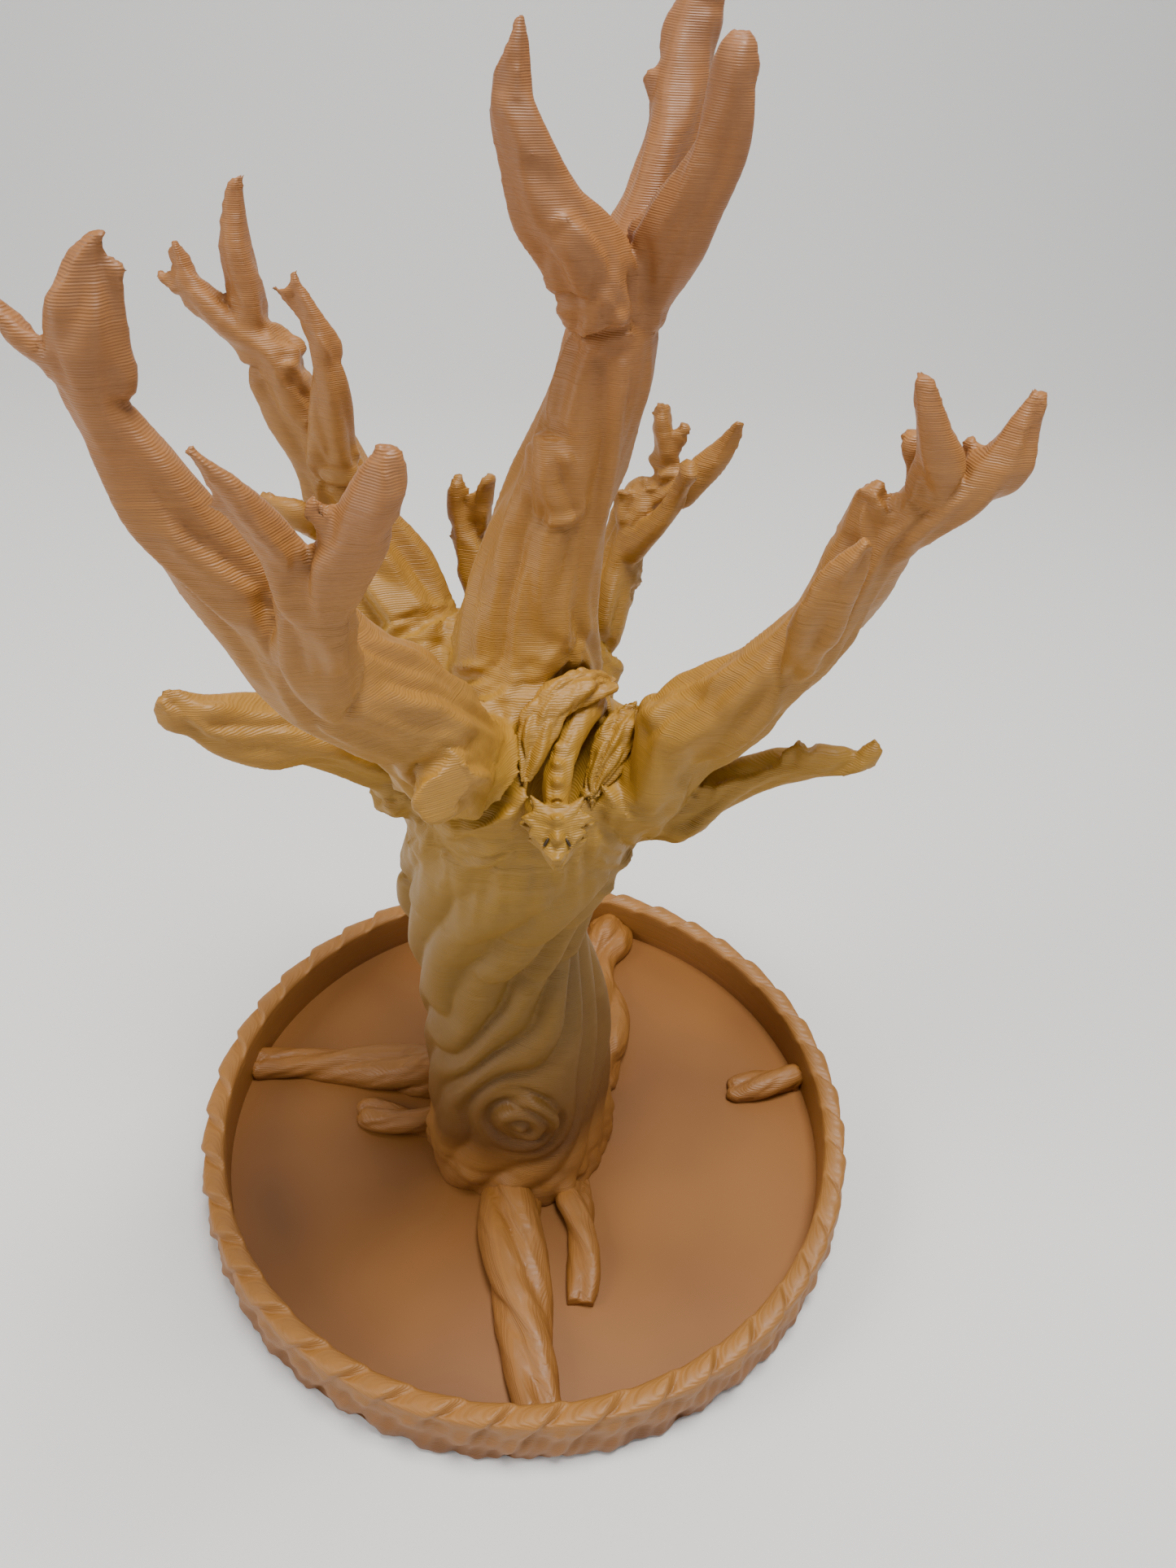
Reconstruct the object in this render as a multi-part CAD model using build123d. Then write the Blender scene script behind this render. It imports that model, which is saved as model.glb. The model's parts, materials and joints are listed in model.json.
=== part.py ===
from build123d import *
import math
import os

# A printed ornament: a bare, twisted tree with a small dragon nested in its crotch,
# standing in a round tray with a rope-edged rim. Millimetres, +Z up. The origin is the
# centre of the tray's underside, and the front of the tree faces -Y.

# Tray and rim
TRAY_WALL_INNER_R = 92.5
TRAY_WALL_OUTER_R = 96.0
TRAY_FLOOR_TOP = 4.7
TRAY_WALL_TOP = 17.0
RIM_TOP = 20.9
RIM_FOOT = 1.5
RIM_OUTER_R = 99.1
RIM_LOBES = 44
RIM_LOBE_HEIGHT = 0.9

# Fits: a glued joint has room for glue, and the tree lifts off its tray spigot
GLUE_GAP = 0.15
LIFT_GAP = 0.10
END_GAP = 0.5

# Trunk and its two plug joints
TRAY_SPIGOT_R = 15.0
TRAY_SPIGOT_HEIGHT = 14.0
TRUNK_TOP = 116.0
CROWN_SPIGOT_R = 11.0
CROWN_SPIGOT_LENGTH = 12.0
TRUNK_LOBES = 5
TRUNK_LOBE_DEPTH = 0.045
TRUNK_TWIST_PER_MM = math.radians(1.1)
TRUNK_SECTION_POINTS = 20
# Trunk stations: height, centre x, centre y, mean radius
TRUNK = [
    (TRAY_FLOOR_TOP, -3, 0, 27.5),
    (20, -4, 0, 27.8),
    (45, -5, 0, 27.0),
    (70, -7, 0, 25.2),
    (92, -11, 0, 23.3),
    (TRUNK_TOP, -11, -2, 24.0),
]
TRUNK_KNOT = [(-1, -12, 46, 12), (-1, -22, 46, 10.5), (-1, -29, 46, 7.0)]

# Roots that lie on the tray floor, as x, y, half width. Each one is a half-round relief.
ROOT_HEIGHT_PER_WIDTH = 0.85
TRUNK_FOOT_CLEAR_R = 30.5
ROOTS = {
    "root_front": [(-5, -22, 9.2), (-4, -51, 9.0), (-1, -70, 7.5), (1, -95, 6.5)],
    "root_front_stub": [(11, -22, 6.5), (15, -38, 6.3), (15, -50, 5.4), (13, -60, 3.2)],
    "root_left": [(-24, 16, 9.5), (-45, 21, 8.0), (-66, 23, 6.0), (-95, 24, 6.2)],
    "root_left_curl": [(-24, 0, 7.0), (-38, 0, 6.5), (-47, 3, 5.5), (-53, 7, 3.4)],
    "root_rear": [(17, 20, 9.0), (27, 42, 8.8), (26, 64, 6.2), (36, 88, 8.5)],
    "root_right_stub": [(96, 17, 7.0), (82, 14, 6.4), (73, 12, 5.2), (68, 10, 3.2)],
}

# Crown: the swollen crotch that the limbs plug into, as x, y, z, radius
CROWN_HUB = [
    (-11, -2, TRUNK_TOP, 24.0),
    (-8, -5, 128, 26.0),
    (-5, -7, 142, 27.5),
    (-4, -6, 156, 26.0),
    (-4, -3, 168, 21.0),
    (-4, 0, 176, 15.0),
]
CROWN_BOSSES = [
    [(-6, -12, 146, 17.0), (-15, -24, 167, 14.4)],
    [(6, -9, 142, 15.0), (21, -17, 162, 13.4)],
    [(-14, 8, 148, 16.0), (-31, 24, 172, 14.0)],
    [(3, 7, 148, 12.0), (11, 23, 168, 9.2)],
    [(-7, 11, 150, 10.0), (-13, 30, 165, 6.2)],
    [(-12, -6, 142, 13.0), (-34, -16, 161, 8.8)],
    [(3, -7, 124, 10.0), (17, -12, 138, 8.2)],
    [(6, -12, 124, 7.5), (15, -19, 131, 4.6)],
]

# Limbs: each is a list of strands, and a strand's stations are x, y, z, radius from its
# root to its tip. The first strand carries the others as forks, knots and shoulders.
CENTRAL_LIMB = [
    [
        (-4, 4, 172, 16.9),
        (-4, 4, 184, 16.3),
        (-2, 5, 200, 13.7),
        (2, 6, 215, 11.5),
        (7, 7, 232, 9.8),
        (11, 10, 252, 8.6),
        (13, 14, 262, 6.6),
        (17, 20, 272, 5.2),
        (21, 25, 281, 5.2),
        (23, 30, 289, 5.4),
        (25, 34, 298, 4.8),
        (26, 37, 307, 1.8),
    ],
    [(2, 1, 218, 7.4), (0, 0, 228, 5.4), (-1, -1, 234, 2.8)],
    [(21, 29, 284, 3.6), (17, 30, 292, 1.4)],
    [(26, 34, 293, 2.8), (29, 34, 300, 0.9)],
]
CENTRAL_LEFT_FINGER = [
    [
        (8, 3, 254, 6.4),
        (7, 3, 261, 6.8),
        (1, 2, 270, 6.7),
        (-5, 0, 279, 5.4),
        (-8, 0, 287, 4.6),
        (-9, 0, 294, 3.5),
        (-8, 0, 299, 2.1),
        (-8, 0, 303, 0.9),
    ],
    [(4, 0, 262, 4.8), (2, -3, 269, 3.8), (0, -5, 274, 1.6)],
    [(-3, 0, 275, 4.2), (-6, -4, 284, 1.8)],
]
CENTRAL_RIGHT_FINGER = [
    [
        (15, 8, 254, 5.4),
        (18, 8, 263, 6.0),
        (21, 6, 271, 6.2),
        (26, 4, 281, 4.9),
        (29, 3, 290, 4.2),
        (29, 2, 297, 2.9),
        (29, 2, 302, 0.9),
    ],
    [(29, 3, 290, 2.8), (32, 3, 298, 0.9)],
]
LEFT_LIMB = [
    [
        (-17, -26, 170, 12.8),
        (-25, -37, 188, 11.9),
        (-33, -46, 201, 10.7),
        (-42, -52, 213, 9.4),
        (-52, -56, 229, 7.6),
        (-60, -58, 241, 6.2),
        (-64, -59, 251, 5.3),
        (-67, -60, 260, 4.6),
        (-67, -61, 268, 4.4),
        (-65, -61, 275, 3.4),
        (-61, -61, 281, 1.1),
    ],
    [(-66, -60, 260, 4.0), (-62, -60, 272, 2.6), (-60, -60, 277, 0.9)],
    [(-24, -36, 186, 6.0), (-27, -36, 197, 4.0), (-28, -36, 201, 1.8)],
]
LEFT_TWIG = [[(-66, -60, 261, 2.4), (-73, -61, 266, 1.8), (-76, -60, 269, 1.3), (-79, -60, 273, 0.6)]]
LEFT_FORK = [
    [(-40, -53, 207, 6.8), (-40, -61, 219, 6.2), (-38, -68, 233, 5.0)],
    [(-39, -67, 229, 4.6), (-42, -70, 240, 3.8), (-46, -73, 249, 3.0), (-51, -76, 259, 1.1)],
    [(-38, -67, 229, 4.8), (-33, -71, 242, 4.3), (-28, -74, 251, 3.7), (-25, -76, 259, 1.4)],
    [(-45, -72, 247, 2.4), (-50, -74, 250, 0.8)],
    [(-31, -71, 243, 3.0), (-37, -73, 250, 1.0)],
]
LOW_LEFT_LIMB = [
    [
        (-33, -15, 161, 7.6),
        (-45, -25, 174, 6.4),
        (-55, -31, 181, 5.9),
        (-63, -35, 185, 4.8),
        (-70, -38, 190, 3.4),
        (-74, -39, 195, 1.2),
    ],
]
FRONT_STUB = [[(-15, -31, 167, 5.6), (-17, -37, 173, 5.8), (-19, -46, 182, 5.6), (-21, -53, 188, 4.6)]]
REAR_LEFT_LIMB = [
    [
        (-29, 22, 168, 13.1),
        (-37, 30, 181, 12.4),
        (-45, 35, 197, 10.2),
        (-51, 37, 211, 7.8),
        (-57, 38, 223, 6.9),
        (-61, 38, 233, 5.6),
    ],
    [(-59, 38, 228, 6.0), (-66, 38, 239, 4.6), (-72, 38, 243, 3.5), (-77, 38, 249, 2.7), (-79, 38, 257, 1.0)],
    [(-61, 38, 233, 4.8), (-65, 38, 244, 3.9), (-66, 38, 256, 2.9), (-64, 38, 270, 1.0)],
    [(-75, 38, 247, 2.2), (-84, 38, 250, 0.8)],
    [(-57, 37, 225, 4.2), (-57, 33, 234, 1.8)],
]
REAR_LEFT_FINGER = [
    [
        (-51, 34, 212, 5.0),
        (-48, 28, 220, 4.9),
        (-48, 27, 229, 4.6),
        (-48, 26, 238, 4.1),
        (-50, 26, 246, 3.2),
        (-53, 26, 255, 1.1),
    ],
    [(-49, 26, 245, 2.6), (-58, 26, 252, 0.8)],
]
REAR_LEFT_TWIG = [
    [(-46, 33, 191, 2.9), (-53, 28, 198, 2.6), (-58, 25, 203, 2.2), (-65, 25, 208, 1.0)],
    [(-57, 26, 201, 1.8), (-62, 25, 208, 0.7)],
]
REAR_TWIG = [
    [(-13, 30, 164, 4.2), (-14, 36, 176, 4.2), (-17, 42, 187, 4.0), (-20, 43, 197, 2.8), (-22, 43, 205, 1.2)],
    [(-18, 42, 188, 3.2), (-16, 43, 198, 2.4), (-14, 43, 206, 1.1)],
    [(-18, 41, 184, 2.6), (-23, 42, 191, 0.9)],
]
REAR_RIGHT_LIMB = [
    [(10, 21, 164, 7.3), (14, 29, 178, 6.9), (18, 34, 189, 5.7), (21, 36, 199, 4.8), (26, 36, 208, 3.2)],
    [(24, 36, 205, 3.0), (29, 37, 214, 2.4), (27, 38, 221, 1.9), (26, 38, 227, 0.9)],
    [(24, 36, 205, 3.0), (33, 34, 209, 3.0), (39, 32, 216, 2.5), (44, 30, 226, 0.9)],
    [(28, 37, 212, 1.8), (32, 37, 223, 0.8)],
    [(20, 35, 198, 3.8), (18, 35, 207, 1.8)],
    [(16, 31, 180, 3.6), (24, 30, 185, 1.2)],
]
REAR_RIGHT_FINGER = [
    [
        (20, 33, 190, 3.4),
        (25, 30, 198, 3.3),
        (29, 28, 204, 2.8),
        (32, 27, 210, 2.1),
        (33, 27, 216, 1.0),
    ],
]
RIGHT_LIMB = [
    [
        (18, -15, 158, 12.4),
        (28, -19, 171, 10.5),
        (38, -23, 184, 9.0),
        (48, -26, 196, 7.5),
        (55, -27, 207, 6.8),
        (59, -28, 218, 6.2),
        (62, -29, 227, 5.5),
        (67, -30, 232, 4.8),
        (73, -30, 236, 4.6),
        (79, -30, 243, 4.2),
        (81, -30, 249, 3.2),
        (82, -30, 255, 1.3),
    ],
    [(66, -30, 231, 4.6), (67, -31, 240, 3.7), (63, -32, 249, 2.8), (60, -32, 258, 1.2)],
    [(60, -28, 224, 5.0), (58, -28, 233, 3.4), (57, -28, 236, 2.2)],
    [(66, -27, 230, 2.8), (66, -24, 237, 2.1), (64, -22, 244, 1.0)],
    [(73, -29, 236, 2.6), (74, -26, 245, 1.0)],
]
RIGHT_TWIG = [[(48, -29, 197, 4.0), (50, -36, 208, 3.9), (51, -40, 220, 3.4), (54, -42, 232, 1.1)]]
LOW_RIGHT_LIMB = [
    [
        (14, -10, 134, 7.0),
        (30, -17, 148, 5.8),
        (40, -21, 158, 5.1),
        (48, -23, 165, 4.4),
        (57, -25, 169, 3.9),
        (65, -26, 171, 2.9),
        (71, -26, 177, 1.0),
    ],
    [(53, -24, 168, 3.6), (56, -24, 174, 1.8)],
]

# Spigot radius and length behind the root of each limb that stands on the crown
SPIGOTS = {
    "central_limb": (8.0, 12.0),
    "left_limb": (6.0, 10.0),
    "low_left_limb": (4.0, 8.0),
    "rear_left_limb": (5.5, 10.0),
    "rear_right_limb": (3.5, 8.0),
    "right_limb": (5.5, 10.0),
    "low_right_limb": (3.5, 8.0),
}

# Where two limbs crowd each other, the first is cut away around the second
COPED = [
    ("central_right_finger", "central_left_finger"),
    ("low_right_limb", "right_limb"),
]

# Dragon: it hangs head down in a hollow between the left, right and central limbs
DRAGON_NECK = [
    (10, -8, 172, 3.4),
    (9, -13, 176, 3.3),
    (6, -19, 174, 3.0),
    (3, -25, 170, 3.0),
    (2, -29, 167, 3.0),
    (2, -33, 164, 2.8),
]
DRAGON_HEAD = [(0.3, 2.9), (3.5, 4.6), (7.5, 4.4), (10.5, 3.2), (13.0, 1.6), (14.0, 0.9)]
DRAGON_HEAD_FLATNESS = 0.72
DRAGON_SPIKES = [(3.5, 2.4, 5.8, -1.2), (6.5, 3.6, 8.0, 3.6), (9.0, 3.2, 6.1, 7.2)]
DRAGON_LEFT_WING = [
    (15, -9, 180, 1.6),
    (8, -13, 182, 4.0),
    (1, -18, 180, 4.5),
    (-3, -23, 175, 3.9),
    (-4, -27, 171, 2.4),
    (-5, -30, 168, 1.0),
]
DRAGON_RIGHT_WING = [
    (20, -11, 175, 1.7),
    (17, -15, 173, 4.0),
    (14, -20, 169, 4.0),
    (11, -24, 164, 2.8),
    (10, -27, 161, 1.3),
]
WING_FLATNESS = 0.6
WING_FACING = Vector(0, -0.7, 0.7)
NEST = [
    (12, -8, 178, 8.0),
    (9, -14, 177, 9.5),
    (4, -22, 171, 9.0),
    (2, -30, 164, 7.0),
    (2, -38, 158, 6.0),
]


def strand(stations, grow=0.0, flat=1.0, facing=Vector(0, 1, 0)):
    """A tapering rod through the stations, its sections square to its path."""
    centres = [Vector(x, y, z) for x, y, z, _ in stations]
    sections = []
    for i, centre in enumerate(centres):
        ahead = centres[min(i + 1, len(centres) - 1)]
        behind = centres[max(i - 1, 0)]
        along = (ahead - behind).normalized()
        across = along.cross(facing).normalized()
        radius = stations[i][3]
        outline = Ellipse(radius + grow, radius * flat + grow)
        sections.append(Plane(centre, x_dir=across, z_dir=along) * outline)
    return loft(sections)


def root_plane(stations):
    """The plane at a strand's root, facing along the strand."""
    start = Vector(*stations[0][:3])
    return Plane(start, z_dir=Vector(*stations[1][:3]) - start)


def plug(stations, radius, length):
    """A round spigot that reaches back from a strand's root."""
    behind = root_plane(stations).offset(-length)
    return extrude(behind * Circle(radius), length + 0.5)


def limb(strands, spigot=None, grow=0.0):
    """A limb with its forks and knots, and its spigot if it stands on the crown."""
    solid = strand(strands[0], grow)
    for side_strand in strands[1:]:
        solid += strand(side_strand, grow)
    if spigot:
        radius, length = spigot
        solid += plug(strands[0], radius + grow, length + (END_GAP if grow else 0))
    return solid


def socket(strands, spigot=None):
    """The hollow that a limb's root plugs into, with room for glue."""
    return limb(strands, spigot, GLUE_GAP)


def trunk_outline(height, x, y, radius):
    """A lobed outline whose lobes turn as the trunk rises, like wrung cloth."""
    turn = height * TRUNK_TWIST_PER_MM
    points = []
    for i in range(TRUNK_SECTION_POINTS):
        angle = 2 * math.pi * i / TRUNK_SECTION_POINTS
        reach = radius * (1 + TRUNK_LOBE_DEPTH * math.cos(TRUNK_LOBES * angle - turn))
        points.append((reach * math.cos(angle), reach * math.sin(angle)))
    return Plane((x, y, height)) * make_face(Spline(*points, periodic=True))


def trunk_foot_plane():
    """The plane of the tray's floor, centred under the trunk."""
    height, x, y, _ = TRUNK[0]
    return Plane((x, y, height))


def tray():
    """The round floor with its plain wall and the spigot that the tree drops over."""
    body = extrude(Circle(TRAY_WALL_OUTER_R), TRAY_WALL_TOP)
    body -= Plane.XY.offset(TRAY_FLOOR_TOP) * extrude(Circle(TRAY_WALL_INNER_R), TRAY_WALL_TOP)
    body += extrude(trunk_foot_plane() * Circle(TRAY_SPIGOT_R), TRAY_SPIGOT_HEIGHT)
    return body


def rim_wreath():
    """An L-section ring over the tray's wall, its outside scalloped like laid rope."""
    step = 2 * math.pi / RIM_LOBES
    edges = []
    for i in range(RIM_LOBES):
        start = Vector(RIM_OUTER_R, 0).rotate(Axis.Z, math.degrees(i * step))
        crest = Vector(RIM_OUTER_R + RIM_LOBE_HEIGHT, 0).rotate(Axis.Z, math.degrees((i + 0.5) * step))
        end = Vector(RIM_OUTER_R, 0).rotate(Axis.Z, math.degrees((i + 1) * step))
        edges.append(ThreePointArc(start, crest, end))
    outline = Plane.XY.offset(RIM_FOOT) * make_face(edges)
    ring = extrude(outline, RIM_TOP - RIM_FOOT)
    ring -= extrude(Circle(TRAY_WALL_INNER_R), RIM_TOP)
    ring -= extrude(Circle(TRAY_WALL_OUTER_R + GLUE_GAP), TRAY_WALL_TOP)
    return ring


def root(stations):
    """A half-round root on the tray floor, between the trunk's foot and the rim."""
    centred = [(x, y, TRAY_FLOOR_TOP, width) for x, y, width in stations]
    rod = strand(centred, flat=ROOT_HEIGHT_PER_WIDTH, facing=Vector(0, 0, 1))
    above_floor = Plane.XY.offset(TRAY_FLOOR_TOP) * extrude(Circle(TRAY_WALL_INNER_R - GLUE_GAP), RIM_TOP)
    foot = extrude(trunk_foot_plane() * Circle(TRUNK_FOOT_CLEAR_R), RIM_TOP)
    return (rod & above_floor) - foot


def trunk():
    """The twisted trunk with its swirl knot, a socket underneath and one on top."""
    body = loft([trunk_outline(*station) for station in TRUNK])
    body += strand(TRUNK_KNOT, facing=Vector(1, 0, 0))
    tray_socket = trunk_foot_plane() * Circle(TRAY_SPIGOT_R + LIFT_GAP)
    body -= extrude(tray_socket, TRAY_SPIGOT_HEIGHT + END_GAP)
    x, y = TRUNK[-1][1:3]
    crown_socket = Plane((x, y, TRUNK_TOP)) * Circle(CROWN_SPIGOT_R + GLUE_GAP)
    body -= extrude(crown_socket, -(CROWN_SPIGOT_LENGTH + END_GAP))
    return body


def nest():
    """The hollow that the dragon lies in."""
    hollow = strand(NEST)
    hollow += strand(DRAGON_LEFT_WING, GLUE_GAP, WING_FLATNESS, WING_FACING)
    hollow += strand(DRAGON_RIGHT_WING, GLUE_GAP, WING_FLATNESS, WING_FACING)
    hollow += strand(DRAGON_NECK, GLUE_GAP)
    hollow += dragon_head(GLUE_GAP)
    return hollow


def crown(sockets, hollow):
    """The crotch of the tree: a swollen hub with a boss behind every limb."""
    body = strand(CROWN_HUB)
    for boss in CROWN_BOSSES:
        body += strand(boss)
    x, y = CROWN_HUB[0][:2]
    body = split(body, Plane((x, y, TRUNK_TOP)), keep=Keep.TOP)
    spigot = Plane((x, y, TRUNK_TOP)) * Circle(CROWN_SPIGOT_R)
    body += extrude(spigot, -CROWN_SPIGOT_LENGTH)
    for limb_socket in sockets:
        body -= limb_socket
    body -= hollow
    return body


def dragon_neck():
    """The neck, cut away where the folded wings lie against it."""
    neck = strand(DRAGON_NECK)
    for wing in (DRAGON_LEFT_WING, DRAGON_RIGHT_WING):
        neck -= strand(wing, GLUE_GAP, WING_FLATNESS, WING_FACING)
    return neck


def dragon_head(grow=0.0):
    """A flat, pointed head with a horn and two frill spikes on each side."""
    base = Vector(*DRAGON_NECK[-1][:3])
    along = (base - Vector(*DRAGON_NECK[-2][:3])).normalized()
    frame = Plane(base, x_dir=Vector(1, 0, 0), z_dir=along)
    sections = []
    for reach, width in DRAGON_HEAD:
        outline = Ellipse(width + grow, width * DRAGON_HEAD_FLATNESS + grow)
        sections.append(frame.offset(reach) * outline)
    head = loft(sections)
    for side in (-1, 1):
        for root_along, root_side, tip_side, tip_along in DRAGON_SPIKES:
            start = frame.from_local_coords((side * root_side * 0.6, 0, root_along))
            tip = frame.from_local_coords((side * tip_side, 0, tip_along))
            head += strand([(*start, 1.7), (*tip, 0.4)], grow, facing=along)
    return head


def write(name, solid):
    """Writes one piece to its own file."""
    export_step(solid, f"parts/{name}.step")


def main():
    os.makedirs("parts", exist_ok=True)
    hollow = nest()
    on_crown = {
        "central_limb": CENTRAL_LIMB,
        "left_limb": LEFT_LIMB,
        "low_left_limb": LOW_LEFT_LIMB,
        "rear_left_limb": REAR_LEFT_LIMB,
        "rear_right_limb": REAR_RIGHT_LIMB,
        "right_limb": RIGHT_LIMB,
        "low_right_limb": LOW_RIGHT_LIMB,
        "rear_twig": REAR_TWIG,
    }
    side_pieces = {
        "central_left_finger": ("central_limb", CENTRAL_LEFT_FINGER),
        "central_right_finger": ("central_limb", CENTRAL_RIGHT_FINGER),
        "left_fork": ("left_limb", LEFT_FORK),
        "left_twig": ("left_limb", LEFT_TWIG),
        "front_stub": ("left_limb", FRONT_STUB),
        "rear_left_finger": ("rear_left_limb", REAR_LEFT_FINGER),
        "rear_left_twig": ("rear_left_limb", REAR_LEFT_TWIG),
        "rear_right_finger": ("rear_right_limb", REAR_RIGHT_FINGER),
        "right_twig": ("right_limb", RIGHT_TWIG),
    }
    limbs = {name: limb(strands, SPIGOTS.get(name)) for name, strands in on_crown.items()}
    for name, (parent, strands) in side_pieces.items():
        limbs[name] = limb(strands)
        limbs[parent] -= socket(strands)
    for name, neighbour in COPED:
        strands = on_crown.get(neighbour) or side_pieces[neighbour][1]
        limbs[name] -= strand(strands[0], GLUE_GAP)
    for name in ("central_limb", "left_limb", "right_limb"):
        limbs[name] -= hollow
    sockets = [socket(strands, SPIGOTS.get(name)) for name, strands in on_crown.items()]

    write("tray", tray())
    write("rim_wreath", rim_wreath())
    for name, stations in ROOTS.items():
        write(name, root(stations))
    write("trunk", trunk())
    write("crown", crown(sockets, hollow))
    for name, solid in limbs.items():
        write(name, solid)
    write("dragon_neck", dragon_neck())
    write("dragon_head", dragon_head())
    write("dragon_left_wing", strand(DRAGON_LEFT_WING, flat=WING_FLATNESS, facing=WING_FACING))
    write("dragon_right_wing", strand(DRAGON_RIGHT_WING, flat=WING_FLATNESS, facing=WING_FACING))


main()
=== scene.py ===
import json
import math

import bpy
import numpy as np
from mathutils import Matrix, Vector

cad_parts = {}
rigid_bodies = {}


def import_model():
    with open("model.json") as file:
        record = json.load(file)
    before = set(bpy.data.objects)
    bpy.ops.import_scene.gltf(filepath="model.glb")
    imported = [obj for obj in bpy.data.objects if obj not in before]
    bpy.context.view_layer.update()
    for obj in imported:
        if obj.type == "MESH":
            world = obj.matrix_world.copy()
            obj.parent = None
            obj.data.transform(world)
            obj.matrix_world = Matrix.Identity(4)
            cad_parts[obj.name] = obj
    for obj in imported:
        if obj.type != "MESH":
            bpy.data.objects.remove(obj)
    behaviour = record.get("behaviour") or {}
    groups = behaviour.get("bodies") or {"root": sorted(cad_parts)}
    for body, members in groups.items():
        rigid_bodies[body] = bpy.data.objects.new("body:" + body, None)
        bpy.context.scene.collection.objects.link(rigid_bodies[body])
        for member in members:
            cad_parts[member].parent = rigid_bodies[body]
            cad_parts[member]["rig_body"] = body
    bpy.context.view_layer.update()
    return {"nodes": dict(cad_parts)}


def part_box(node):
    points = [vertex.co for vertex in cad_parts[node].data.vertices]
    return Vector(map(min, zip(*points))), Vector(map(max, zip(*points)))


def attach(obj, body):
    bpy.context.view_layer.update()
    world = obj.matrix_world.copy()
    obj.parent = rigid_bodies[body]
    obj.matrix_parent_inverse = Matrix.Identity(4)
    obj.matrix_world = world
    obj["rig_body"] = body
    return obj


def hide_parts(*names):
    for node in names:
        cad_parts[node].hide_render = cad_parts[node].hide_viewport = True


# A printed dragon tree in its tray, in metres. The CAD pieces of the tree are gathered into
# one skin, and the skin is folded along its limbs, the way the print's surface flows. The
# roots, the rim and the dragon get skins of their own, and the tray is the CAD piece itself.

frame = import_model()
MM = 0.001
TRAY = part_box("tray")
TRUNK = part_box("trunk")
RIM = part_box("rim_wreath")
FLOOR_Z = TRUNK[0].z
X_AXIS = np.array([1.0, 0.0, 0.0])

# Voxel sizes of the skins
TREE_VOXEL = 0.8 * MM
ROOT_VOXEL = 0.6 * MM
DRAGON_VOXEL = 0.38 * MM

# Filament colour by height: metres above the tray's underside, then sRGB out of 255
GRADIENT = [
    (0.000, (112, 68, 26)),
    (0.006, (142, 91, 36)),
    (0.021, (158, 107, 47)),
    (0.030, (112, 70, 21)),
    (0.050, (120, 81, 23)),
    (0.080, (132, 95, 28)),
    (0.125, (146, 109, 35)),
    (0.150, (158, 117, 33)),
    (0.172, (168, 123, 36)),
    (0.200, (166, 117, 45)),
    (0.250, (160, 105, 53)),
    (0.310, (152, 99, 57)),
]
GRADIENT_TOP = 0.32
GRADIENT_WANDER = 0.012
LAYER_HEIGHT = 0.0002
LAYER_BUMP = 0.0002
SATIN = 0.47


# ---------------------------------------------------------------- materials
def linear(srgb):
    """An sRGB colour out of 255 as the linear colour that Blender takes."""
    return [((c / 255 + 0.055) / 1.055) ** 2.4 for c in srgb]


def height_ramp(ramp):
    """Sets a colour ramp's stops from the gradient."""
    while len(ramp.elements) > 2:
        ramp.elements.remove(ramp.elements[-1])
    for i, (height, srgb) in enumerate(GRADIENT):
        position = height / GRADIENT_TOP
        stop = ramp.elements[i] if i < 2 else ramp.elements.new(position)
        stop.position = position
        stop.color = (*linear(srgb), 1)


def multiply_add(nodes, factor, offset=0.0):
    """A node that gives input 0 times the factor, plus the offset."""
    node = nodes.new("ShaderNodeMath")
    node.operation = "MULTIPLY_ADD"
    node.inputs[1].default_value = factor
    node.inputs[2].default_value = offset
    return node


def map_range(nodes, low, high, from_low=0.0, from_high=1.0):
    """A node that maps its input's range to low and high."""
    node = nodes.new("ShaderNodeMapRange")
    node.inputs["From Min"].default_value = from_low
    node.inputs["From Max"].default_value = from_high
    node.inputs["To Min"].default_value = low
    node.inputs["To Max"].default_value = high
    return node


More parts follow.
